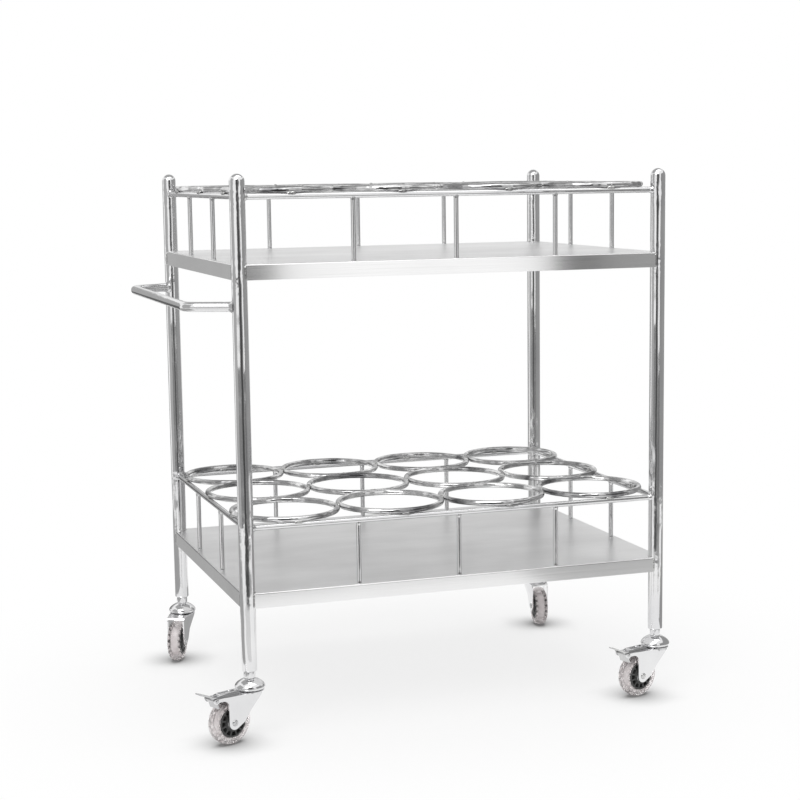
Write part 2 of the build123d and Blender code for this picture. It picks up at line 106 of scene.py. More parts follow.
WHEEL_R = box("tyre_rear_right").z.half
TRAIL, _ = trail_of("axle", "front_left")
PLATE_TOP = box("fork_rear_right").z.high
PIVOT_U, _ = trail_of("brake_pin", "front_left")
PIVOT_Z = round(box("brake_pin_front_left").z.middle, 2)

# Other sizes in millimetres, angles in degrees, and counts

POST_WALL = 1.2
POST_BORE_DEPTH = 40.0
POST_FOOT_EASE = 2.2
SHEET = 1.2
LIP = 10.0
FOLD_R = 2.4
BALUSTER_R = 4.0
LONG_SIDE_X = (-175.0, 0.0, 175.0)
SHORT_END_Y = (-90.5, 90.5)
ROWS = {"front": -1, "middle": 0, "rear": 1}
RINGS_IN_ROW = 4
HANDLE_HALF = 233.4
HANDLE_BEND = 28.0
STEM_R = 5.95
KINGPIN_R = 4.95
NUT_FLATS = 17.0
NUT_BORE = 6.05
FORK_SHEET = 2.5
PLATE_UNDER = PLATE_TOP - FORK_SHEET
FORK_FRONT = 8.0
FORK_HALF = 16.3
SHOULDER_HALF = 21.5
SHOULDER_LENGTH = 12.0
SHOULDER_TOP = 76.0
SHOULDER_FOOT = 53.0
EYE_R = 11.0
KNEE_AHEAD = 20.0
KNEE_DROP = 1.5
LEG_EDGE = TRAIL + EYE_R
HOOD_BOTTOM = 76.5
HOOD_FILLET = 9.0
EAR_HALF = 14.0
EAR_TAPER = 8.0
EAR_R = 5.5
AXLE_R = 4.0
PIN_R = 2.0
BARREL_R = 4.2
HOOD_GAP = 1.0
HOOD_END = round(PIVOT_U - BARREL_R - HOOD_GAP, 2)
PEDAL_TURN = 22.0
PEDAL_LENGTH = 31.0
PEDAL_SHEET = 2.0
PEDAL_FLANGE_LENGTH = 14.0
PEDAL_FLANGE_DEPTH = 4.0
PEDAL_TIP = 8.0
PEDAL_RIDGES = (19.0, 22.0, 25.0)
PRESS_TURN = 20.0
# Lean of the pivot from straight above the axle: once pressed, the tab points at the axle
PIVOT_LEAN = 37.7
TAB_TURN = PRESS_TURN - PIVOT_LEAN
TAB_LENGTH = 14.93
TAB_HALF = 1.25
SPRING_START = CAP_R + 2.0
SPRING_END = HOOD_END - 1.5
SPRING_HALF = 7.0
SPRING_SHEET = 1.0
SPRING_FLANGE = 4.5
SPRING_RIVET = SPRING_START + 6.0
SPRING_CURL = SPRING_END - 6.0
HUB_WINDOWS = 12
WINDOW_REACH = (15.2, 21.8)
HUB_RIB = 2.8
CORE_STUDS = 16


# Materials: lengths in metres, greys from 0 to 1

EVEN = (1, 1, 1)
WHITE = (1.0, 1.0, 1.0)
# Most of a noise lies between these two values
NOISE_LOW, NOISE_HIGH = 0.3, 0.7
# Sockets of a Mix node for colours, by number
MIX_SHARE, MIX_A, MIX_B, MIX_RESULT = 0, 6, 7, 2


class Graph:
    """Nodes of a material or the world, with short ways to add and join them."""

    def __init__(self, owner, bare=False):
        owner.use_nodes = True
        self.owner = owner
        self.nodes = owner.node_tree.nodes
        self.links = owner.node_tree.links
        self.normal = None
        if bare:
            self.nodes.clear()

    def feed(self, node, inputs):
        """Joins a node's inputs to other nodes, or sets them to plain values."""
        for key, value in inputs.items():
            if isinstance(value, bpy.types.NodeSocket):
                self.links.new(value, node.inputs[key])
            else:
                node.inputs[key].default_value = value

    def add(self, kind, inputs=None, **settings):
        """New node with its settings made and its inputs fed."""
        node = self.nodes.new(f"ShaderNode{kind}")
        for key, value in settings.items():
            setattr(node, key, value)
        self.feed(node, inputs or {})
        return node

    def surface(self, **inputs):
        """Feeds the shader's own sockets, with _ for a space in their names."""
        shader = self.nodes["Principled BSDF"]
        self.feed(shader, {key.replace("_", " "): value for key, value in inputs.items()})

    def math(self, operation, first, second):
        return self.add("Math", {0: first, 1: second}, operation=operation).outputs[0]

    def noise(self, scale, stretch=EVEN, detail=3.0, rough=0.5):
        """Noise fixed to the piece, finer along an axis with a larger stretch."""
        place = self.add("TexCoord").outputs["Object"]
        place = self.add("Mapping", {"Vector": place, "Scale": stretch}).outputs["Vector"]
        inputs = {"Vector": place, "Scale": scale, "Detail": detail, "Roughness": rough}
        return self.add("TexNoise", inputs).outputs[0]

    def spread(self, value, low, high, start=NOISE_LOW, stop=NOISE_HIGH, **settings):
        """Goes from low to high as a value goes from start to stop."""
        inputs = {"Value": value, "From Min": start, "From Max": stop, "To Min": low, "To Max": high}
        return self.add("MapRange", inputs, **settings).outputs["Result"]

    def tint(self, noise, dark, pale):
        """Colour that goes from dark to pale with a noise."""
        ramp = self.add("ValToRGB", {"Fac": noise})
        first, last = ramp.color_ramp.elements
        first.position, last.position = NOISE_LOW, NOISE_HIGH
        first.color, last.color = (*dark, 1), (*pale, 1)
        return ramp.outputs["Color"]

    def multiplied(self, share, first, second):
        """A colour multiplied by another, by a share of the full effect."""
        inputs = {MIX_SHARE: share, MIX_A: first, MIX_B: second}
        return self.add("Mix", inputs, data_type="RGBA", blend_type="MULTIPLY").outputs[MIX_RESULT]

    def mixed(self, share, first, second):
        """One surface that turns into another by a share."""
        return self.add("MixShader", {0: share, 1: first, 2: second}).outputs[0]

    def relief(self, value, height):
        """Bump of a height, on top of the ones before."""
        inputs = {"Height": value, "Strength": 1.0, "Distance": height}
        if self.normal is not None:
            inputs["Normal"] = self.normal
        self.normal = self.add("Bump", inputs).outputs["Normal"]
        self.surface(Normal=self.normal)

    def seen(self):
        """1 for rays from the camera, a glossy surface or glass."""
        rays = self.add("LightPath").outputs
        first = self.math("MAXIMUM", rays["Is Camera Ray"], rays["Is Glossy Ray"])
        return self.math("MAXIMUM", first, rays["Is Transmission Ray"])


def new_material(name, bare=False):
    return Graph(bpy.data.materials.new(name), bare)


def seam_marks(graph, seams, reach):
    """Strength of each seam at its height, and less up to a reach from it."""
    place = graph.add("TexCoord").outputs["Object"]
    level = graph.add("SeparateXYZ", {0: place}).outputs["Z"]
    total = None
    for height, strength in seams:
        gap = graph.math("SUBTRACT", level, height)
        size = graph.add("Math", {0: gap}, operation="ABSOLUTE").outputs[0]
        near = graph.spread(size, strength, 0.0, 0.2 * reach, reach)
        total = near if total is None else graph.math("ADD", total, near)
    return total


def metal(
    name, dark, pale, smooth, dull, grain_scale, grain_height, wave_scale, wave_height,
    grain_stretch=EVEN, wave_along=1.0, patch_scale=9.0, seams=(),
):
    """Bright metal: cloudy colour, smears, fine grain, and a slightly wavy surface."""
    graph = new_material(name)
    patches = graph.noise(patch_scale, detail=5.0)
    fine = graph.noise(grain_scale, grain_stretch, detail=4.0, rough=0.6)
    smudge = graph.noise(26.0, detail=4.0, rough=0.6)
    rough = graph.math(
        "ADD", graph.spread(fine, smooth / 2, dull / 2), graph.spread(smudge, smooth / 2, dull / 2))
    graph.surface(Metallic=1.0, Base_Color=graph.tint(patches, dark, pale), Roughness=rough)
    graph.relief(graph.noise(wave_scale, (1, 1, wave_along), detail=1.0), wave_height)
    if seams:
        dents = graph.noise(75.0, (1, 1, 0.7), detail=2.0)
        graph.relief(graph.math("MULTIPLY", dents, seam_marks(graph, seams, reach=0.045)), 0.0016)
    graph.relief(fine, grain_height)
    return graph.owner


# How strongly the welds have marked the posts, at the skirt and at the rails
SEAM_STRENGTH = {"lower": (0.3, 0.5), "upper": (1.0, 1.0)}
SKIRT_SEAM_DROP = 12.0
post_seams = []
for level, (at_skirt, at_rail) in SEAM_STRENGTH.items():
    post_seams.append(((LEVELS[level] - SKIRT_SEAM_DROP) * MM, at_skirt))
    post_seams.append(((LEVELS[level] + RAIL_RISE) * MM, at_rail))

polished = metal(
    "polished_steel", dark=(0.76, 0.76, 0.77), pale=(0.86, 0.86, 0.86), smooth=0.06, dull=0.14,
    grain_scale=520.0, grain_stretch=(1, 1, 0.04), grain_height=0.000004,
    wave_scale=16.0, wave_along=0.8, wave_height=0.0028, seams=post_seams,
)
wire = metal(
    "polished_wire", dark=(0.70, 0.70, 0.71), pale=(0.82, 0.82, 0.82), smooth=0.09, dull=0.18,
    grain_scale=420.0, grain_height=0.000006, wave_scale=24.0, wave_height=0.0009,
)
bent_tube = metal(
    "polished_handle", dark=(0.74, 0.74, 0.75), pale=(0.86, 0.86, 0.86), smooth=0.07, dull=0.14,
    grain_scale=520.0, grain_height=0.000004, wave_scale=14.0, wave_height=0.0007,
)
ring_wire = metal(
    "drawn_wire", dark=(0.16, 0.16, 0.165), pale=(0.98, 0.98, 0.98), smooth=0.05, dull=0.11,
    grain_scale=420.0, grain_height=0.000006, wave_scale=34.0, wave_height=0.0052, patch_scale=20.0,
)
plated = metal(
    "chrome_plate", dark=(0.76, 0.76, 0.77), pale=(0.86, 0.86, 0.86), smooth=0.05, dull=0.13,
    grain_scale=600.0, grain_height=0.000003, wave_scale=60.0, wave_along=0.8, wave_height=0.00025,
)
zinc = metal(
    "zinc_plate", dark=(0.58, 0.58, 0.59), pale=(0.74, 0.74, 0.73), smooth=0.18, dull=0.32,
    grain_scale=500.0, grain_height=0.000008, wave_scale=60.0, wave_along=0.8, wave_height=0.00008,
)
weld = metal(
    "weld_metal", dark=(0.34, 0.34, 0.34), pale=(0.66, 0.66, 0.65), smooth=0.16, dull=0.30,
    grain_scale=330.0, grain_height=0.00004, wave_scale=120.0, wave_along=0.8, wave_height=0.00045,
)


def brushed_material():
    """Sheet brushed along its length, with faint clouds, rougher on top, and painted shade that darkens the
    colour of its top faces.
    """
    graph = new_material("satin_steel")
    streak = graph.noise(3.0, (1.2, 190, 190), detail=5.0, rough=0.7)
    patches = graph.noise(5.0, (1, 2.0, 2.0), detail=4.0)
    facing = graph.add("NewGeometry").outputs["Normal"]
    upward = graph.add("SeparateXYZ", {0: facing}).outputs["Z"]
    clouds = graph.tint(patches, (0.92, 0.918, 0.918), WHITE)
    lines = graph.tint(streak, (0.82, 0.82, 0.82), WHITE)
    # Painted shade: faces that point up get a darker colour, besides being rougher
    top_shade_share = graph.spread(upward, 0.0, 1.0, 0.5, 0.9)
    painted_top_shade = graph.tint(patches, (0.86, 0.86, 0.86), (0.94, 0.94, 0.94))
    colour = graph.multiplied(top_shade_share, graph.multiplied(0.45, clouds, lines), painted_top_shade)
    rough = graph.math("ADD", graph.spread(streak, 0.045, 0.075), graph.spread(patches, 0.055, 0.075))
    worn = graph.spread(upward, 0.0, 0.2, 0.5, 0.9)
    graph.surface(Metallic=1.0, Base_Color=colour, Roughness=graph.math("ADD", rough, worn))
    graph.relief(streak, 0.000005)
    graph.relief(graph.noise(3.5, detail=1.0), 0.0003)
    return graph.owner


def tread_material():
    """Clear soft plastic: half of it bends the light and half lets it straight through."""
    graph = new_material("clear_tread")
    cloud = graph.noise(40.0, detail=2.0)
    scuff = graph.noise(130.0, detail=4.0, rough=0.6)
    graph.surface(
        Transmission_Weight=0.97, IOR=1.42, Specular_IOR_Level=0.5,
        Base_Color=graph.tint(cloud, (0.93, 0.89, 0.89), (0.97, 0.95, 0.95)),
        Roughness=graph.spread(scuff, 0.02, 0.06),
    )
    graph.relief(scuff, 0.000004)
    passing = graph.tint(cloud, (0.95, 0.92, 0.92), (0.99, 0.97, 0.97))
    clear = graph.add("BsdfTransparent", {"Color": passing})
    bending = graph.nodes["Principled BSDF"]
    both = graph.mixed(0.5, bending.outputs[0], clear.outputs[0])
    graph.feed(graph.nodes["Material Output"], {"Surface": both})
    return graph.owner


def plastic_material(name, dark, pale, smooth, dull):
    """Moulded plastic with faint clouds and a fine grain."""
    graph = new_material(name)
    cloud = graph.noise(70.0, detail=4.0)
    grain = graph.noise(900.0, detail=3.0, rough=0.6)
    graph.surface(Base_Color=graph.tint(cloud, dark, pale), Roughness=graph.spread(grain, smooth, dull))
    graph.relief(grain, 0.00003)
    return graph.owner


satin = brushed_material()
tread = tread_material()
hub_plastic = plastic_material(
    "hub_plastic", dark=(0.03, 0.03, 0.03), pale=(0.07, 0.07, 0.07), smooth=0.3, dull=0.45)
core_plastic = plastic_material(
    "core_plastic", dark=(0.84, 0.81, 0.81), pale=(0.95, 0.93, 0.93), smooth=0.2, dull=0.35)


# Places: where the two directions of an outline or a round section, and the third, point to

def endwise(a, b, h):
    return (h, a, b)


def upright(x, y, z=0.0):
    return lambda a, b, h: (x + a, y + b, z + h)


def crosswise(u, z):
    return lambda a, b, h: (u + a, h, z + b)


flat = upright(0, 0)
across = crosswise(0, 0)
on_axle = crosswise(TRAIL, WHEEL_R)
on_pivot = crosswise(PIVOT_U, PIVOT_Z)


def caster_place(corner):
    """From a caster's own frame, trailing along the first direction, to where it stands."""
    x, y = CORNERS[corner]
    _, angle = trail_of("axle", corner)
    c, s = cos(radians(angle)), sin(radians(angle))
    return lambda u, v, z: (x + u * c - v * s, y + u * s + v * c, z)


# Mesh building

def full_turn(steps):
    """Angles that divide a full turn evenly."""
    return [2 * pi * i / steps for i in range(steps)]


def turned(a, b, angle):
    """A point turned about the origin, by an angle in radians."""
    return a * cos(angle) - b * sin(angle), a * sin(angle) + b * cos(angle)


class Shape:
    """Points in millimetres and the faces that join them."""

    def __init__(self):
        self.points, self.faces = [], []

    def skin(self, rows, closed=False):
        """Joins loops of points in turn, and closes the ends or joins the last to the first."""
        loops = []
        for row in rows:
            start = len(self.points)
            self.points.extend(tuple(point) for point in row)
            loops.append(range(start, len(self.points)))
        pairs = list(zip(loops, loops[1:]))
        if closed:
            pairs.append((loops[-1], loops[0]))
        for a, b in pairs:
            count = max(len(a), len(b))
            for i in range(count):
                j = (i + 1) % count
                # A loop of one point makes triangles
                corners = (a[i % len(a)], a[j % len(a)], b[j % len(b)], b[i % len(b)])
                self.faces.append(tuple(dict.fromkeys(corners)))
        if not closed:
            ends = (loops[0][::-1], loops[-1])
            self.faces.extend(tuple(end) for end in ends if len(end) > 2)
        return self

    def lathe(self, profile, place, segments=48, closed=False):
        """Turns a profile of (radius, height) about its axis."""
        turns = full_turn(segments)
        rows = []
        for r, height in profile:
            rows.append([place(r * cos(t), r * sin(t), height) for t in (turns if r else [0])])
        return self.skin(rows, closed)

    def sweep(self, path, radii, segments=20, closed=False):
        """Round section along a path, with one radius or one for each point."""
        path = [Vector(p) for p in path]
        count = len(path)
        if not hasattr(radii, "__len__"):
            radii = [radii] * count
        heads = []
        for i in range(count):
            before = path[i - 1 if closed else max(i - 1, 0)]
            after = path[(i + 1) % count if closed else min(i + 1, count - 1)]
            heads.append((after - before).normalized())
        side = Vector((0, 0, 1)) if abs(heads[0].z) < 0.9 else heads[0].orthogonal()
        turns = full_turn(segments)
        rows = []
        for point, head, radius in zip(path, heads, radii):
            side = (side - head * side.dot(head)).normalized()
            other = head.cross(side)
            rows.append([point + side * (radius * cos(t)) + other * (radius * sin(t)) for t in turns])
        return self.skin(rows, closed)

    def prism(self, outline, place, low, high):
        """Flat outline carried from one level to another."""
        return self.skin([[place(a, b, h) for a, b in outline] for h in (low, high)])


def rounded(corners, step=9.0):
    """Outline of (x, y, radius) corners, with arcs in steps of some degrees."""
    outline = []
    for i, (x, y, radius) in enumerate(corners):
        here = Vector((x, y))
        if radius <= 0:
            outline.append((x, y))
            continue
        back = (Vector(corners[i - 1][:2]) - here).normalized()
        ahead = (Vector(corners[i + 1 - len(corners)][:2]) - here).normalized()
        half = back.angle(ahead) / 2
        reach = radius / tan(half)
        centre = here + (back + ahead).normalized() * (radius / sin(half))
        start = here + back * reach - centre
        stop = here + ahead * reach - centre
        turn = start.angle_signed(stop)
        steps = max(2, ceil(abs(degrees(turn)) / step))
        for k in range(steps + 1):
            a, b = turned(start.x, start.y, -turn * k / steps)
            outline.append((centre.x + a, centre.y + b))
    return outline


def mirrored(points):
    """Points of one side, then the same backwards with their second number negative."""
    return points + [(first, -second, *rest) for first, second, *rest in reversed(points)]


def eased(points, steps=4):
    """Smooth curve through the points of a profile."""
    points = [Vector(p) for p in points]
    curve = []
    last = len(points) - 1
    for i in range(last):
        p0, p1, p2, p3 = (points[min(max(k, 0), last)] for k in range(i - 1, i + 3))
        for k in range(steps):
            t = k / steps
            curve.append(tuple(0.5 * (
                2 * p1 + (p2 - p0) * t + (2 * p0 - 5 * p1 + 4 * p2 - p3) * t * t
                + (3 * p1 - p0 - 3 * p2 + p3) * t ** 3
            )))
    curve.append(tuple(points[-1]))
    return curve


def disc(place, radius, low, high, segments=40):
    """Plain round bar, for a joint or a hole."""
    return Shape().lathe([(0, low), (radius, low), (radius, high), (0, high)], place, segments)


def new_object(name, data):
    thing = bpy.data.objects.new(name, data)
    bpy.context.scene.collection.objects.link(thing)
    return thing


def to_mesh(name, shape):
    """Mesh of a shape, with all its faces turned outwards."""
    mesh = bpy.data.meshes.new(name)
    mesh.from_pydata(shape.points, [], shape.faces)
    work = bmesh.new()
    work.from_mesh(mesh)
    bmesh.ops.recalc_face_normals(work, faces=work.faces)
    work.to_mesh(mesh)
    work.free()
    return mesh


def carve(base, *steps, bevel=0.0):
    """Joins, cuts and crosses solids, eases the edges, and clears the slivers."""
    made = []

    def stand(shape):
        mesh = shape if isinstance(shape, bpy.types.Mesh) else to_mesh("work", shape)
        made.append(new_object("work", mesh))
        return made[-1]

    first = stand(base)
    for operation, shape in steps:
        cut = first.modifiers.new("cut", "BOOLEAN")
        cut.operation = operation
        cut.solver = "EXACT"
        cut.object = stand(shape)
    if bevel:
        ease = first.modifiers.new("ease", "BEVEL")
        ease.width = bevel
        ease.segments = 2
        ease.limit_method = "ANGLE"
        ease.angle_limit = radians(40)
    bpy.context.view_layer.update()
    depsgraph = bpy.context.evaluated_depsgraph_get()
    mesh = bpy.data.meshes.new_from_object(first.evaluated_get(depsgraph))
    for thing in made:
        bpy.data.objects.remove(thing)
    work = bmesh.new()
    work.from_mesh(mesh)
    bmesh.ops.remove_doubles(work, verts=work.verts, dist=SLIVER)
    bmesh.ops.dissolve_degenerate(work, edges=work.edges, dist=SLIVER)
    work.to_mesh(mesh)
    work.free()
    return mesh


def piece(
    name, shape, material, replaced=(), body="frame",
    place=flat, sharp=38.0, flat_first=False,
):
    """A finished piece in metres, smooth up to a sharp angle in degrees, riding on its body."""
    mesh = shape.copy() if isinstance(shape, bpy.types.Mesh) else to_mesh(name, shape)
    mesh.name = name
    for vertex in mesh.vertices:
        vertex.co = Vector(place(*vertex.co)) * MM
    mesh.materials.clear()
    mesh.materials.append(material)
    for face in mesh.polygons:
        face.use_smooth = True
        face.material_index = 0
    mesh.set_sharp_from_angle(angle=radians(sharp))
    thing = new_object(name, mesh)
    if flat_first:
        weighted = thing.modifiers.new("weighted", "WEIGHTED_NORMAL")
        weighted.keep_sharp = True
        weighted.weight = 90
    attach(thing, body)
    if replaced:
        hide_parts(*replaced)


def bead(shape, path, radius, wobble=0.18, taper=2, segments=10):
    """Lumpy weld bead along a path, run out over a few points at both ends."""
    count = len(path)
    radii = []
    for i in range(count):
        end = min(i, count - 1 - i)
        size = radius * (1 + wobble * (2 * random.random() - 1))
        if end < taper:
            size *= sqrt((end + 0.25) / taper)
        radii.append(size)
    shape.sweep(path, radii, segments)


# Posts: one tube each, with a half-round top and an eased foot

def post_profile(spans=40):
    """From the bore's end down to the foot, up the tube and over the dome."""
    bore = POST_R - POST_WALL
    shoulder = POST_FOOT + POST_FOOT_EASE
    end = POST_FOOT + POST_BORE_DEPTH
    profile = [
        (0, end), (bore, end), (bore, POST_FOOT + 0.2),
        (POST_R - 0.9, POST_FOOT), (POST_R - 0.55, POST_FOOT + 0.25), (POST_R - 0.2, POST_FOOT + 0.9),
        (POST_R, shoulder),
    ]
    profile += [(POST_R, shoulder + (TUBE_TOP - shoulder) * i / spans) for i in range(1, spans + 1)]
    tilts = [radians(t) for t in range(6, 90, 6)]
    profile += [(POST_R * cos(t), TUBE_TOP + POST_R * sin(t)) for t in tilts]
    return profile + [(0, TUBE_TOP + POST_R)]


for corner, (x, y) in CORNERS.items():
    tube = Shape().lathe(post_profile(), upright(x, y), 56)
    piece(f"post_tube_{corner}", tube, polished, (f"post_{corner}", "post_caps"))


# Shelves: folded pans cut back to the posts

POST_FIT = 0.12
CORNER_CUT = 40.0
CUT_PAST = 5.0


def shelf_mesh(top):
    """Pan with a folded skirt and lip, open at each corner for the post."""
    bottom = top - SKIRT
    far = 2 * SHELF_X

    def block(half, place, inset):
        """Section of the pan, set in from its outside and carried far past it."""
        reach = half - inset
        outline = rounded([
            (-reach, bottom + inset, 0.0), (reach, bottom + inset, 0.0),
            (reach, top - inset, FOLD_R - inset), (-reach, top - inset, FOLD_R - inset),
        ], step=11.0)
        return Shape().prism(outline, place, -far, far)

    signs = ((-1, -1), (1, -1), (1, 1), (-1, 1))
    opening = [(sx * (SHELF_X - LIP), sy * (SHELF_Y - LIP)) for sx, sy in signs]
    steps = [
        ("INTERSECT", block(SHELF_Y, endwise, 0)),
        ("DIFFERENCE", carve(block(SHELF_X, across, SHEET), ("INTERSECT", block(SHELF_Y, endwise, SHEET)))),
        ("DIFFERENCE", Shape().prism(opening, flat, bottom - CUT_PAST, bottom + SHEET + 2)),
    ]
    for x, y in CORNERS.values():
        out_x, out_y = x + copysign(CORNER_CUT, x), y + copysign(CORNER_CUT, y)
        square = [(x, y), (out_x, y), (out_x, out_y), (x, out_y)]
        if (x > 0) != (y > 0):
            square.reverse()
        steps.append(("DIFFERENCE", Shape().prism(square, flat, bottom - CUT_PAST, top + CUT_PAST)))
        bore = disc(upright(x, y), POST_R + POST_FIT, bottom - CUT_PAST - 1, top + CUT_PAST + 1, 48)
        steps.append(("DIFFERENCE", bore))
    return carve(block(SHELF_X, across, 0), *steps)


for level, top in LEVELS.items():
    piece(
        f"{level}_shelf_pan", shelf_mesh(top), satin, (f"{level}_shelf",),
        sharp=30.0, flat_first=True,
    )


# Welds of the shelves to the posts: up the skirts, and round the posts on top

SKIRT_BEAD_R = 1.75
SKIRT_BEAD_POINTS = 16
SKIRT_BEAD_START = 1.2
SKIRT_BEAD_STEP = 1.45
SKIRT_BEAD_SINK = 0.3
SKIRT_BEAD_OFF = 0.7
TOP_BEAD_R = 0.8
TOP_BEAD_SPANS = 40
TOP_BEAD_SINK = 0.1
TOP_BEAD_HALF = radians(96)
TOP_BEAD_REACH = POST_R + 0.2


def shelf_welds(top):
    beads = Shape()
    heights = [top - SKIRT + SKIRT_BEAD_START + SKIRT_BEAD_STEP * i for i in range(SKIRT_BEAD_POINTS)]
    over_x = SHELF_X - HALF_X - SKIRT_BEAD_SINK
    over_y = SHELF_Y - HALF_Y - SKIRT_BEAD_SINK
    for x, y in CORNERS.values():
        sx, sy = copysign(1, x), copysign(1, y)
        near_x = x - sx * sqrt(POST_R ** 2 - over_y ** 2)
        near_y = y - sy * sqrt(POST_R ** 2 - over_x ** 2)
        on_long_side = (near_x - sx * SKIRT_BEAD_OFF, y + sy * over_y)
        on_short_end = (x + sx * over_x, near_y - sy * SKIRT_BEAD_OFF)
        for at in (on_long_side, on_short_end):
            bead(beads, [(*at, height) for height in heights], SKIRT_BEAD_R)
        start = atan2(-sy, -sx) - TOP_BEAD_HALF
        arc = [start + 2 * TOP_BEAD_HALF * i / TOP_BEAD_SPANS for i in range(TOP_BEAD_SPANS + 1)]
        round_post = [(x + TOP_BEAD_REACH * cos(t), y + TOP_BEAD_REACH * sin(t)) for t in arc]
        bead(beads, [(*at, top - TOP_BEAD_SINK) for at in round_post], TOP_BEAD_R)
    return beads


for level, top in LEVELS.items():
    piece(f"{level}_shelf_welds", shelf_welds(top), weld, sharp=60.0)


# Guard rails and balusters, each end run out into its weld

# Distance from the post's surface, and what the weld adds to the radius
RAIL_FLARE = [(-2.6, 2.3), (0.2, 1.978), (1.0, 1.196), (2.0, 0.552), (3.2, 0.184), (4.6, 0.0)]
RAIL_SPANS = 10


def flared(line, radius, marks, segments):
    """Rod along a line of points, its ends widened by marks of (distance, more radius)."""
    lead = (line[1] - line[0]).normalized()
    tail = (line[-2] - line[-1]).normalized()
    path = [line[0] + lead * at for at, _ in marks] + line[1:-1]
    path += [line[-1] + tail * at for at, _ in reversed(marks)]
    flare = [radius + more for _, more in marks]
    radii = flare + [radius] * (len(line) - 2) + flare[::-1]
    return Shape().sweep(path, radii, segments)


def rail_rod(start, stop):
    """Rod between two posts, let into both."""
    start, stop = Vector(start), Vector(stop)
    length = (stop - start).length
    head = (stop - start) / length
    skip = RAIL_FLARE[-1][0]
    steps = [skip + (length - 2 * skip) * i / RAIL_SPANS for i in range(1, RAIL_SPANS)]
    return flared([start, *(start + head * step for step in steps), stop], RAIL_R, RAIL_FLARE, 28)


def baluster_rods(top):
    """Uprights under the rails, a little wider at the shelf and under the rail."""
    under = RAIL_RISE - RAIL_R
    radius = BALUSTER_R
    profile = [
        (0, -0.8), (radius + 0.3, -0.8), (radius + 0.2, 0.3), (radius, 1.2), (radius, 4.0),
        (radius, under * 0.3), (radius, under * 0.6), (radius, under - 4.0),
        (radius + 0.1, under - 2.4), (radius + 0.45, under - 0.9), (radius + 0.6, under + 0.6),
        (radius + 0.2, under + 2.2), (0, under + 3.0),
    ]
    spots = [(x, side * HALF_Y) for x in LONG_SIDE_X for side in (-1, 1)]
    spots += [(side * HALF_X, y) for y in SHORT_END_Y for side in (-1, 1)]
    rods = Shape()
    for x, y in spots:
        rods.lathe(profile, upright(x, y, top), 24)
    return rods


for level, top in LEVELS.items():
    height = top + RAIL_RISE
    near_x, near_y = HALF_X - POST_R, HALF_Y - POST_R
    ends = {
        "front": ((-near_x, -HALF_Y, height), (near_x, -HALF_Y, height)),
        "rear": ((-near_x, HALF_Y, height), (near_x, HALF_Y, height)),
        "left": ((-HALF_X, -near_y, height), (-HALF_X, near_y, height)),
        "right": ((HALF_X, -near_y, height), (HALF_X, near_y, height)),
    }
    for side, (start, stop) in ends.items():
        piece(f"{level}_rail_rod_{side}", rail_rod(start, stop), wire, (f"{level}_rail_{side}",))
    piece(f"{level}_baluster_rods", baluster_rods(top), wire, (f"{level}_balusters",))


# Flask rings, and their welds to each other and to the rails

RING_STEPS = 112
RING_X = [(i - (RINGS_IN_ROW - 1) / 2) * RING_PITCH for i in range(RINGS_IN_ROW)]
GROOVE_BEAD_R = 3.5
GROOVE_HALF = 8.0
GROOVE_SPANS = 8
GROOVE_GAP = 2.2


def ring_row(y, height):
    rings = Shape()
    for x in RING_X:
        path = [(x + RING_R * cos(t), y + RING_R * sin(t), height) for t in full_turn(RING_STEPS)]
        rings.sweep(path, WIRE_R, 18, closed=True)
    return rings


def groove_welds(shape, at, along, away):
    """Short beads in both grooves beside two wires that touch."""
    for side in (-1, 1):
        path = []
        for i in range(GROOVE_SPANS + 1):
            reach = -GROOVE_HALF + 2 * GROOVE_HALF * i / GROOVE_SPANS
            path.append([a + b * reach + c * side * GROOVE_GAP for a, b, c in zip(at, along, away)])
        bead(shape, path, GROOVE_BEAD_R, wobble=0.2, taper=3, segments=12)


def ring_welds(height):
    welds = Shape()
    along_x, along_y, upward = (1, 0, 0), (0, 1, 0), (0, 0, 1)
    on_rail = height - WIRE_R
    for row in ROWS.values():
        for i in range(1, RINGS_IN_ROW):
            between = (i - RINGS_IN_ROW / 2) * RING_PITCH
            groove_welds(welds, (between, row * RING_PITCH, height), along_y, upward)
    for x in RING_X:
        for side in (-1, 1):
            groove_welds(welds, (x, side * RING_PITCH / 2, height), along_x, upward)
            groove_welds(welds, (x, side * HALF_Y, on_rail), along_x, along_y)
    for row in ROWS.values():
        for side in (-1, 1):
            groove_welds(welds, (side * HALF_X, row * RING_PITCH, on_rail), along_y, along_x)
    return welds


for level, top in LEVELS.items():
    height = top + RING_RISE
    for row, place in ROWS.items():
        rings = ring_row(place * RING_PITCH, height)
        piece(f"{level}_ring_row_{row}", rings, ring_wire, (f"{level}_rings_{row}",))
    piece(f"{level}_ring_welds", ring_welds(height), weld, sharp=60.0)


# Push handle: one bent tube, welded to the two left posts

# Distance from the post's axis, and what the weld adds to the radius
HANDLE_FLARE = [(10.0, 3.4), (11.2, 3.0), (12.6, 2.1), (14.2, 1.1), (16.0, 0.4), (18.5, 0.0)]


def handle_tube():
    corners = [
        (-HALF_X, -HALF_Y, 0), (HANDLE_X, -HANDLE_HALF, HANDLE_BEND),
        (HANDLE_X, HANDLE_HALF, HANDLE_BEND), (-HALF_X, HALF_Y, 0),
    ]
    line = [Vector((*point, HANDLE_Z)) for point in rounded(corners, step=4.0)]
    return flared(line, HANDLE_R, HANDLE_FLARE, 36)


piece("push_handle_tube", handle_tube(), bent_tube, ("push_handle",))


# Casters: stems, nuts and swivel caps, which stay with the frame

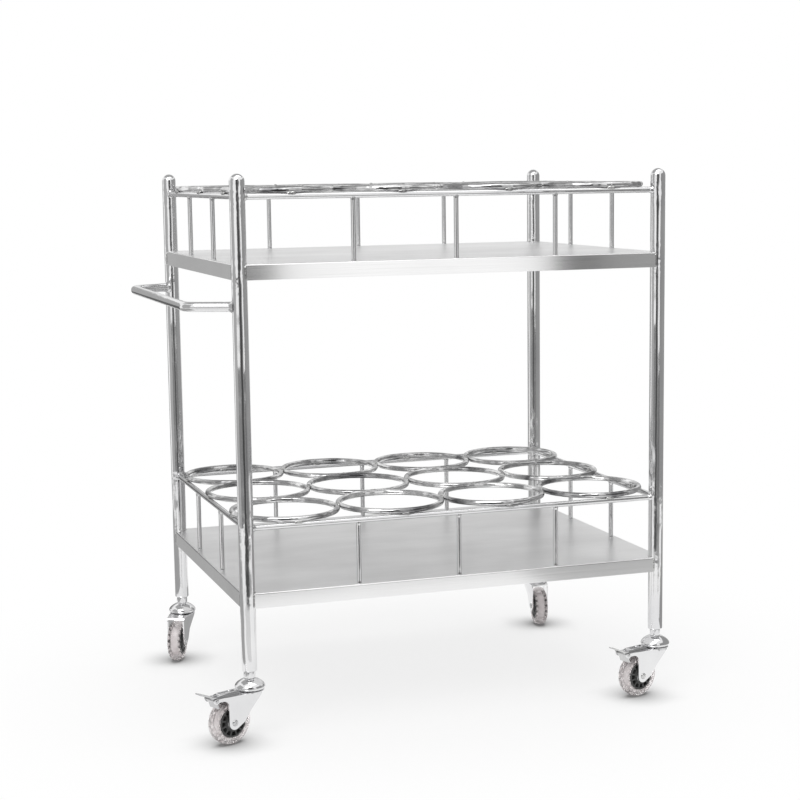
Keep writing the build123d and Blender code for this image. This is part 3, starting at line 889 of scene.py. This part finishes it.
STEM_PROFILE = [
    (0, STEM_LOW), (7.6, STEM_LOW), (8.5, STEM_LOW + 0.9), (8.5, STEM_LOW + 2.4), (8.1, STEM_LOW + 2.9),
    (KINGPIN_R, STEM_LOW + 2.9), (KINGPIN_R, CAP_BOTTOM), (STEM_R, CAP_BOTTOM),
    (STEM_R, STEM_HIGH - 0.8), (STEM_R - 0.75, STEM_HIGH), (0, STEM_HIGH),
]
# Outside of the cap from neck to lower rim, by height above its underside
CAP_DOME = [
    (8.3, 18.0), (10.4, 17.5), (14.2, 15.9), (18.2, 13.5), (21.6, 10.7), (23.9, 8.0), (CAP_R, 5.2),
    (24.5, 3.1), (22.9, 1.2), (20.8, 0.1),
]
CAP_PROFILE = [(6.05, 17.6), (6.4, 18.0)] + eased(CAP_DOME) + [(20.2, 0.5), (6.05, 0.5)]


def hex_nut(shape, x, y):
    """Six-sided nut with its corners turned off at both ends."""
    turns = full_turn(72)
    half = NUT_FLATS / 2
    # Height, and how far the corners reach there in half widths across the flats
    levels = [
        (CAP_TOP, 0.985), (CAP_TOP + 0.5, 1.04), (CAP_TOP + 1.6, 2.0),
        (POST_FOOT - 1.6, 2.0), (POST_FOOT - 0.5, 1.04), (POST_FOOT, 0.985),
    ]
    rows = []
    for z, limit in levels:
        reaches = [min(half / cos((t % (pi / 3)) - pi / 6), limit * half) for t in turns]
        rows.append([(x + reach * cos(t), y + reach * sin(t), z) for reach, t in zip(reaches, turns)])
    for z in (POST_FOOT, CAP_TOP):
        rows.append([(x + NUT_BORE * cos(t), y + NUT_BORE * sin(t), z) for t in turns])
    shape.skin(rows, closed=True)


stems, nuts = Shape(), Shape()
for corner, (x, y) in CORNERS.items():
    stems.lathe(STEM_PROFILE, upright(x, y), 32)
    hex_nut(nuts, x, y)
    dome = Shape().lathe(CAP_PROFILE, upright(x, y, CAP_BOTTOM), 64, closed=True)
    piece(f"swivel_dome_{corner}", dome, plated, (f"swivel_cap_{corner}",))
piece("caster_stem_shafts", stems, zinc, ("caster_stems",))
piece("stem_jam_nuts", nuts, plated, ("stem_nuts",), sharp=25.0)


# Casters: forks, brakes and wheels, drawn in each caster's own frame

# Round seat under the swivel cap, by height above the fork's plate
SEAT_PROFILE = [(0, -2.3), (22.4, -2.3), (23.3, -1.8), (23.5, -1.1), (23.3, -0.3), (22.6, 0.15), (0, 0.15)]
FORK_ARC_STEP = 6.0


def fork_side(braked):
    """Side view: legs down to a knee and the axle's eye, and the hood of a braked fork."""
    eye = Vector((TRAIL, WHEEL_R))
    knee = Vector((TRAIL - KNEE_AHEAD, WHEEL_R - KNEE_DROP))
    tangent = atan2(-KNEE_DROP, -KNEE_AHEAD) + acos(EYE_R / hypot(KNEE_AHEAD, KNEE_DROP))
    touch = eye + Vector((cos(tangent), sin(tangent))) * EYE_R
    slope = (touch.y - knee.y) / (touch.x - knee.x)
    foot = knee.y + slope * (LEG_EDGE - knee.x)
    above = PLATE_TOP + 3
    if braked:
        hood = [(PIVOT_U, above, 0), (PIVOT_U, HOOD_BOTTOM, 0), (LEG_EDGE, HOOD_BOTTOM, HOOD_FILLET)]
    else:
        hood = [(LEG_EDGE, above, HOOD_FILLET)]
    legs = [
        (LEG_EDGE, foot, EYE_R), (knee.x, knee.y, 13.0),
        (-FORK_FRONT, PLATE_UNDER - 1.5, 0.8), (-FORK_FRONT, above, 0),
    ]
    return Shape().prism(rounded(hood + legs, FORK_ARC_STEP), across, -40, 40)


def fork_front(inset, low, high, ease):
    """Front view, set in from its outside: legs that widen to the shoulders."""
    leg, shoulder = FORK_HALF - inset, SHOULDER_HALF - inset
    outline = [
        (-leg, low, 0), (leg, low, 0), (leg, SHOULDER_FOOT, 26.0), (shoulder, SHOULDER_TOP, 7.0),
        (shoulder, high, ease), (-shoulder, high, ease), (-shoulder, SHOULDER_TOP, 7.0),
        (-leg, SHOULDER_FOOT, 26.0),
    ]
    return Shape().prism(rounded(outline, FORK_ARC_STEP), endwise, -60, 180)


def fork_plan(inset, start):
    """Plan, set in from its outside: shoulders that narrow to the legs and the ears."""
    outline = mirrored([
        (start, SHOULDER_HALF - inset, 0), (SHOULDER_LENGTH, SHOULDER_HALF - inset, 30.0),
        (LEG_EDGE, FORK_HALF - inset, 14.0), (LEG_EDGE + EAR_TAPER, EAR_HALF - inset, 10.0),
        (160.0, EAR_HALF - inset, 0),
    ])
    return Shape().prism(rounded(outline, FORK_ARC_STEP), flat, -20, 120)


def fork_mesh(braked):
    """Pressed fork: three views crossed, hollowed by the sheet, with seat, ears and holes."""
    front = fork_front(FORK_SHEET, -10, PLATE_UNDER, 1.6)
    space = carve(front, ("INTERSECT", fork_plan(FORK_SHEET, -30)))
    ear = EAR_HALF - FORK_SHEET
    hood_gap = Shape().prism([(HOOD_END, -ear), (160, -ear), (160, ear), (HOOD_END, ear)], flat, -20, 120)
    steps = [
        ("INTERSECT", fork_front(0, -20, PLATE_TOP, 2.6)),
        ("INTERSECT", fork_plan(0, -50)),
        ("DIFFERENCE", space),
        ("DIFFERENCE", hood_gap),
        ("UNION", Shape().lathe(SEAT_PROFILE, upright(0, 0, PLATE_TOP), 56)),
        ("DIFFERENCE", disc(flat, KINGPIN_R + 0.11, 60, 99)),
        ("DIFFERENCE", disc(on_axle, AXLE_R + 0.1, -60, 60)),
    ]
    if braked:
        steps.insert(0, ("UNION", disc(on_pivot, EAR_R, -39, 39)))
        steps.append(("DIFFERENCE", disc(on_pivot, PIN_R + 0.05, -60, 60, 24)))
    return carve(fork_side(braked), *steps)


def pedal_mesh():
    """Channel pedal with its barrel, ridges, and the tab that reaches to the tyre."""
    half = EAR_HALF - FORK_SHEET - 0.5
    inner = half - 1.6
    tip = PIVOT_U + PEDAL_LENGTH * cos(radians(PEDAL_TURN))
    low, high = BARREL_R - PEDAL_SHEET, BARREL_R

    def bar(corners, turn, reach):
        """Side view turned about the pivot and carried across the pedal."""
        outline = []
        for along, up, radius in corners:
            a, b = turned(along, up, radians(turn))
            outline.append((PIVOT_U + a, PIVOT_Z + b, radius))
        return Shape().prism(rounded(outline), across, -reach, reach)

    plate = [(0, low, 0), (PEDAL_LENGTH, low, 0.6), (PEDAL_LENGTH, high, 1.2), (0, high, 0)]
    flange = [
        (0, low + 0.5, 0), (PEDAL_FLANGE_LENGTH, low + 0.5, 0), (PEDAL_FLANGE_LENGTH, low, 0),
        (0, low - PEDAL_FLANGE_DEPTH, 0),
    ]
    inside = [(-1, low, 0), (PEDAL_FLANGE_LENGTH + 3, low, 0), (-1, low - PEDAL_FLANGE_DEPTH - 2, 0)]
    tab = [
        (-TAB_HALF, 0, 0), (-TAB_HALF, -TAB_LENGTH, 0.8), (TAB_HALF, -TAB_LENGTH, 0.8), (TAB_HALF, 0, 0),
    ]
    plan = mirrored([
        (TRAIL, half, 0), (PIVOT_U + EAR_R, half, 8.0), (tip - 1, PEDAL_TIP, 5.0), (tip, 3.6, 3.0),
    ])
    steps = [
        ("UNION", bar(flange, PEDAL_TURN, half)),
        ("DIFFERENCE", bar(inside, PEDAL_TURN, inner)),
        ("UNION", disc(on_pivot, BARREL_R, -half, half)),
        ("UNION", bar(tab, TAB_TURN, half)),
        ("INTERSECT", Shape().prism(rounded(plan, 8.0), flat, 0, 160)),
    ]
    for at in PEDAL_RIDGES:
        ridge = [
            (at - 0.9, high - 0.3, 0), (at - 0.5, high + 0.55, 0.3), (at + 0.5, high + 0.55, 0.3),
            (at + 0.9, high - 0.3, 0),
        ]
        steps.append(("UNION", bar(ridge, PEDAL_TURN, 5.5)))
    steps.append(("DIFFERENCE", disc(on_pivot, PIN_R + 0.06, -40, 40, 24)))
    return carve(bar(plate, PEDAL_TURN, half), *steps)


def spring_mesh():
    """Leaf with turned-up sides along the hood, a curled free end and a rivet head."""
    foot = PLATE_TOP + 0.05
    width, sheet = SPRING_HALF, SPRING_SHEET
    rim = foot + SPRING_FLANGE
    section = rounded([
        (-width, foot, 0.9), (width, foot, 0.9), (width, rim, 0.3), (width - sheet, rim, 0.3),
        (width - sheet, foot + sheet, 0.5), (-width + sheet, foot + sheet, 0.5),
        (-width + sheet, rim, 0.3), (-width, rim, 0.3),
    ])
    outline = rounded([
        (SPRING_START, foot - 1, 0), (SPRING_END, foot - 1, 0), (SPRING_END, foot + 2.6, 1.2),
        (SPRING_END - 9, rim + 0.5, 6.0), (SPRING_START + 5, rim + 0.5, 5.0),
        (SPRING_START, foot + 2.2, 1.5),
    ])
    rivet = [(0, 2.4), (1.4, 2.25), (2.5, 1.7), (3.0, 0.9), (3.0, 0.2), (0, 0.2)]
    curl = disc(crosswise(SPRING_CURL, foot + 2.4), 2.1, -width + 0.6, width - 0.6, 24)
    return carve(
        Shape().prism(section, endwise, SPRING_START - 1, SPRING_END + 1),
        ("INTERSECT", Shape().prism(outline, across, -20, 20)),
        ("UNION", Shape().lathe(rivet, upright(SPRING_RIVET, 0, foot), 28)),
        ("UNION", curl),
    )


def riveted(half_length, radius, head):
    """Shaft with ends riveted over outside the sheet, the head by height above it."""
    face = half_length + 0.05
    return mirrored([(r, face + height) for r, height in head] + [(radius - 0.02, face)])


# Round pieces by radius and distance from the middle of the wheel
AXLE_PROFILE = riveted(FORK_HALF, AXLE_R, [
    (0, 0.7), (1.3, 0.7), (1.75, 1.65), (2.6, 1.8), (3.9, 1.6), (4.9, 0.95), (5.2, 0.3), (5.15, 0),
])
PIN_PROFILE = riveted(EAR_HALF, PIN_R, [(0, 1.2), (1.6, 1.15), (2.7, 0.8), (3.2, 0.2), (3.15, 0)])
BEARING_PROFILE = mirrored([(4.06, 12.4), (4.5, 12.9), (9.6, 12.9), (10.4, 12.6), (10.9, 12.2)])
HUB_PROFILE = mirrored([
    (11.05, 12.6), (11.5, 13.0), (13.3, 13.0), (13.9, 12.5), (14.2, 11.3), (14.6, 11.0), (24.4, 11.0),
    (25.0, 10.4),
])
CORE_PROFILE = mirrored([(25.2, 6.4), (25.9, 6.4), (26.2, 6.0)])
# Side of the tread with the groove at its shoulder, up to the middle of its crown
TREAD_CURVE = eased([
    (25.15, 10.2), (26.4, 11.2), (28.8, 11.75), (31.2, 11.5), (32.1, 11.15), (32.6, 10.4), (33.1, 10.6),
    (33.7, 10.3), (35.2, 8.85), (36.5, 6.5), (37.25, 3.5), (WHEEL_R, 0.0),
])
TREAD_PROFILE = mirrored(TREAD_CURVE[:-1] + [(37.49, 0.4)])


def hub_mesh():
    """Core with a window between each two of its ribs."""
    half_turn = pi / HUB_WINDOWS
    inner, outer = WINDOW_REACH
    steps = []
    for k in range(HUB_WINDOWS):
        window = []
        for reach, side in ((inner, -1), (outer, -1), (outer, 1), (inner, 1)):
            aside = side * (reach * tan(half_turn) - HUB_RIB / 2 / cos(half_turn))
            a, b = turned(reach, aside, 2 * half_turn * k)
            window.append((TRAIL + a, WHEEL_R + b, 0.9))
        steps.append(("DIFFERENCE", Shape().prism(rounded(window, 20.0), across, -30, 30)))
    return carve(Shape().lathe(HUB_PROFILE, on_axle, 72, closed=True), *steps, bevel=0.25)


def core_band():
    """Pale band with studs at both its edges, seen through the tread."""
    reach, along = 27.9, 8.7
    high, wide, deep = 2.7, 3.4, 1.6
    tilts = [radians(t) for t in range(-75, 90, 30)]
    band = Shape().lathe(CORE_PROFILE, on_axle, 72, closed=True)
    for middle in full_turn(CORE_STUDS):
        for side in (-1, 1):
            rows = []
            for tilt in tilts:
                rows.append([])
                for t in full_turn(16):
                    out = reach + high * cos(tilt) * cos(t)
                    aside = wide * cos(tilt) * sin(t)
                    depth = side * (along + deep * sin(tilt))
                    rows[-1].append(on_axle(*turned(out, aside, middle), depth))
            band.skin(rows)
    return band


# Name, shape, body, slot, material, and the node that the piece replaces, if any
forks = {
    braked: ("fork_pressing", fork_mesh(braked), "swivel", "plated_steel", plated, "fork")
    for braked in (False, True)
}
axle = Shape().lathe(AXLE_PROFILE, on_axle, 36)
tyre = Shape().lathe(TREAD_PROFILE, on_axle, 96, closed=True)
bearing = Shape().lathe(BEARING_PROFILE, on_axle, 40, closed=True)
pin = Shape().lathe(PIN_PROFILE, on_pivot, 28)
wheel_parts = [
    ("axle_rivet", axle, "swivel", "plated_steel", zinc, "axle"),
    ("tyre_tread", tyre, "wheel", "clear_tread", tread, "tyre"),
    ("hub_core", hub_mesh(), "wheel", "dark_plastic", hub_plastic, "hub"),
    ("core_lugs", core_band(), "wheel", "dark_plastic", core_plastic, None),
    ("bearing_sleeve", bearing, "wheel", "plated_steel", zinc, "bearing"),
]
brake_parts = [
    ("pedal_pressing", pedal_mesh(), "brake", "plated_steel", zinc, "brake_pedal"),
    ("pin_rivet", pin, "swivel", "plated_steel", zinc, "brake_pin"),
    ("spring_leaf", spring_mesh(), "swivel", "plated_steel", plated, "brake_spring"),
]
for corner in CORNERS:
    braked = f"brake_pin_{corner}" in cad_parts
    parts = [forks[braked]] + wheel_parts + (brake_parts if braked else [])
    for name, shape, body, slot, material, node in parts:
        replaced = [f"{node}_{corner}"] if node else []
        carved = isinstance(shape, bpy.types.Mesh)
        piece(
            f"{name}_{corner}", shape, material, replaced, f"{body}_{corner}",
            caster_place(corner), sharp=34.0 if carved else 38.0, flat_first=carved,
        )

# Solids that stay as they are, with a better finish
finishes = {"lower_shelf_stiffener": satin, "upper_shelf_stiffener": satin, "post_plugs": zinc}
for name, finish in finishes.items():
    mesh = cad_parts[name].data
    mesh.materials.clear()
    mesh.materials.append(finish)


# Stage and light, in metres

FLOOR_SIZE = 40.0
FLOOR_GREY = 0.90
# Reach in metres of the painted shadow that occlusion puts round each wheel on the floor's own white
PAINTED_SHADOW_REACH = 0.08
# The floor's share of its own white grows between these distances from the middle
FADE_START, FADE_STOP = 0.35, 1.0
NEAR_WHITE = 0.74
WORLD_LIGHT = 0.62


def floor_material():
    """White floor where it is seen, with soft shadows, and a painted shadow where each wheel stands:
    occlusion darkens its own white there.
    """
    graph = new_material("studio_floor", bare=True)
    matt = graph.add("BsdfDiffuse", {"Color": (FLOOR_GREY, FLOOR_GREY, FLOOR_GREY, 1)})
    # Painted shadow: the floor's own white glow is darkened by occlusion near the wheels
    painted_contact_shadow = graph.add("AmbientOcclusion", {"Distance": PAINTED_SHADOW_REACH}, samples=16)
    glow = graph.add("Emission", {"Strength": graph.spread(painted_contact_shadow.outputs["AO"], 0.10, 1.0, 0.38, 0.95)})
    place = graph.add("TexCoord").outputs["Object"]
    away = graph.add("VectorMath", {0: place}, operation="LENGTH").outputs["Value"]
    white = graph.spread(away, NEAR_WHITE, 1.0, FADE_START, FADE_STOP, interpolation_type="SMOOTHSTEP")
    share = graph.math("MULTIPLY", white, graph.seen())
    graph.add("OutputMaterial", {"Surface": graph.mixed(share, matt.outputs[0], glow.outputs[0])})
    return graph.owner


def stage_plane(name, size, material):
    """Level rectangle round the origin, which isn't part of the object."""
    mesh = bpy.data.meshes.new(name)
    x, y = size[0] / 2, size[1] / 2
    mesh.from_pydata([(-x, -y, 0), (x, -y, 0), (x, y, 0), (-x, y, 0)], [], [(0, 1, 2, 3)])
    mesh.materials.append(material)
    thing = new_object(name, mesh)
    return thing


def grey_card(name, size, at, grey, turn=(0, 0, 0)):
    """Card that shows only in metal and glass."""
    graph = new_material(name, bare=True)
    glow = graph.add("Emission", {"Color": (grey, grey, grey, 1), "Strength": 1.0})
    graph.add("OutputMaterial", {"Surface": glow.outputs[0]})
    card = stage_plane(name, size, graph.owner)
    card.location = at
    card.rotation_euler = turn
    card.visible_camera = False
    card.visible_diffuse = False
    card.visible_shadow = False


# Start and stop on the floor, low and high level, grey
UPRIGHT_CARDS = {
    "front_dim": ((-1.35, -1.9), (-0.98, -1.9), 0.0, 2.0, 0.2),
    "front_dark": ((-0.98, -1.9), (-0.3, -1.9), 0.0, 2.0, 0.07),
    "front_grey": ((-0.3, -1.9), (0.11, -1.9), 0.0, 2.0, 0.25),
    "front_low": ((0.11, -1.9), (0.87, -1.9), 0.0, 0.4, 0.2),
    "front_edge": ((0.87, -1.9), (1.0, -1.9), 0.0, 2.0, 0.15),
    "front_right": ((1.0, -1.9), (2.0, -1.0), 0.0, 2.0, 0.32),
    "right": ((2.0, -1.0), (2.0, 1.7), 0.0, 2.0, 0.34),
    "front_left_low": ((-2.0, -0.8), (-1.35, -1.9), 0.0, 0.45, 0.25),
    "left": ((-2.0, 0.9), (-2.0, -0.8), 0.0, 2.0, 0.45),
    "rear_left_low": ((-0.4, 1.9), (-1.3, 1.9), 0.0, 0.5, 0.13),
    "rear_left": ((-0.35, 1.9), (-1.8, 1.9), 0.5, 1.1, 0.42),
    "rear_low": ((1.95, 1.9), (-0.35, 1.9), 0.0, 0.79, 0.6),
    "rear_high": ((1.95, 1.9), (-0.35, 1.9), 0.79, 2.0, 0.83),
}
# Two corners, height, grey
ON_FLOOR = 0.002
LEVEL_CARDS = {
    "floor_front": ((-1.1, -1.9), (0.1, -1.3), ON_FLOOR, 0.08),
    "floor_front_right": ((0.1, -1.9), (1.2, -1.3), ON_FLOOR, 0.35),
    "floor_near_right": ((0.5, -1.3), (1.2, -1.02), ON_FLOOR, 0.5),
    "floor_middle_left": ((-1.1, -1.3), (-0.2, -1.1), ON_FLOOR, 0.35),
    "floor_near_left": ((-1.1, -1.1), (-0.2, -0.66), ON_FLOOR, 0.76),
    # Painted shade: this grey card, seen only in metal and glass, stands in for the shaded floor near the
    # rear left caster
    "floor_shade_under_left": ((-0.33, 0.3), (0.15, 0.75), ON_FLOOR, 0.4),
    "floor_right": ((0.62, -0.7), (1.9, 1.5), ON_FLOOR, 0.35),
    "floor_left": ((-1.7, -0.4), (-0.72, 0.45), ON_FLOOR, 0.4),
    "floor_rear_left": ((-1.7, 0.45), (-0.42, 1.7), ON_FLOOR, 0.4),
    "ceiling_rear": ((-1.6, -0.1), (1.6, 1.9), 2.2, 0.42),
}
stage_plane("studio_floor", (FLOOR_SIZE, FLOOR_SIZE), floor_material())
for name, (start, stop, low, high, grey) in UPRIGHT_CARDS.items():
    start, stop = Vector(start), Vector(stop)
    run = stop - start
    middle = (*((start + stop) / 2), (low + high) / 2)
    turn = (radians(90), 0, atan2(run.y, run.x))
    grey_card(f"card_{name}", (run.length, high - low), middle, grey, turn)
for name, (near, far, height, grey) in LEVEL_CARDS.items():
    near, far = Vector(near), Vector(far)
    grey_card(f"card_{name}", far - near, (*((near + far) / 2), height), grey)


def studio_world():
    """White where it is seen, and a plain level of light on everything else."""
    graph = Graph(bpy.data.worlds.new("studio"), bare=True)
    lit = graph.add("Background", {"Color": (*WHITE, 1), "Strength": WORLD_LIGHT})
    shown = graph.add("Background", {"Color": (*WHITE, 1), "Strength": 1.0})
    surface = graph.mixed(graph.seen(), lit.outputs[0], shown.outputs[0])
    graph.add("OutputWorld", {"Surface": surface})
    return graph.owner


LIGHT_AIM = (0, 0, 0.4)


def softbox(name, at, size, power):
    lamp = bpy.data.lights.new(name, "AREA")
    lamp.shape = "RECTANGLE"
    lamp.size, lamp.size_y = size
    lamp.energy = power
    thing = new_object(name, lamp)
    thing.location = at
    thing.rotation_euler = (Vector(LIGHT_AIM) - Vector(at)).to_track_quat("-Z", "Y").to_euler()


bpy.context.scene.world = studio_world()
softbox("key_softbox", (-1.6, -2.2, 3.2), (2.4, 2.4), 55.0)
softbox("top_softbox", (0.4, 0.3, 3.6), (2.6, 2.6), 40.0)


# Camera at the photograph's view: angles in radians, the focal length in its pixels

CAMERA_AT = (-1.00381, -2.98796, 0.91020)
YAW, PITCH, ROLL = 0.32513905, 0.14010633, 0.01303656
SHIFT_X, SHIFT_Y = -0.009375, 0.025
FOCAL_PX = 1768.67
IMAGE_PX = 800
FAR_CLIP = 60.0


def photo_camera():
    forward = Vector((sin(YAW) * cos(PITCH), cos(YAW) * cos(PITCH), -sin(PITCH)))
    level_right = Vector((cos(YAW), -sin(YAW), 0))
    level_down = forward.cross(level_right)
    right = level_right * cos(ROLL) + level_down * sin(ROLL)
    down = level_down * cos(ROLL) - level_right * sin(ROLL)
    lens = bpy.data.cameras.new("camera")
    lens.lens = FOCAL_PX / IMAGE_PX * lens.sensor_width
    lens.shift_x, lens.shift_y = SHIFT_X, SHIFT_Y
    lens.clip_end = FAR_CLIP
    camera = new_object("camera", lens)
    turn = Matrix((right, -down, -forward)).transposed()
    camera.matrix_world = Matrix.Translation(CAMERA_AT) @ turn.to_4x4()
    return camera


bpy.context.scene.camera = photo_camera()
bpy.context.scene.view_settings.view_transform = "Standard"
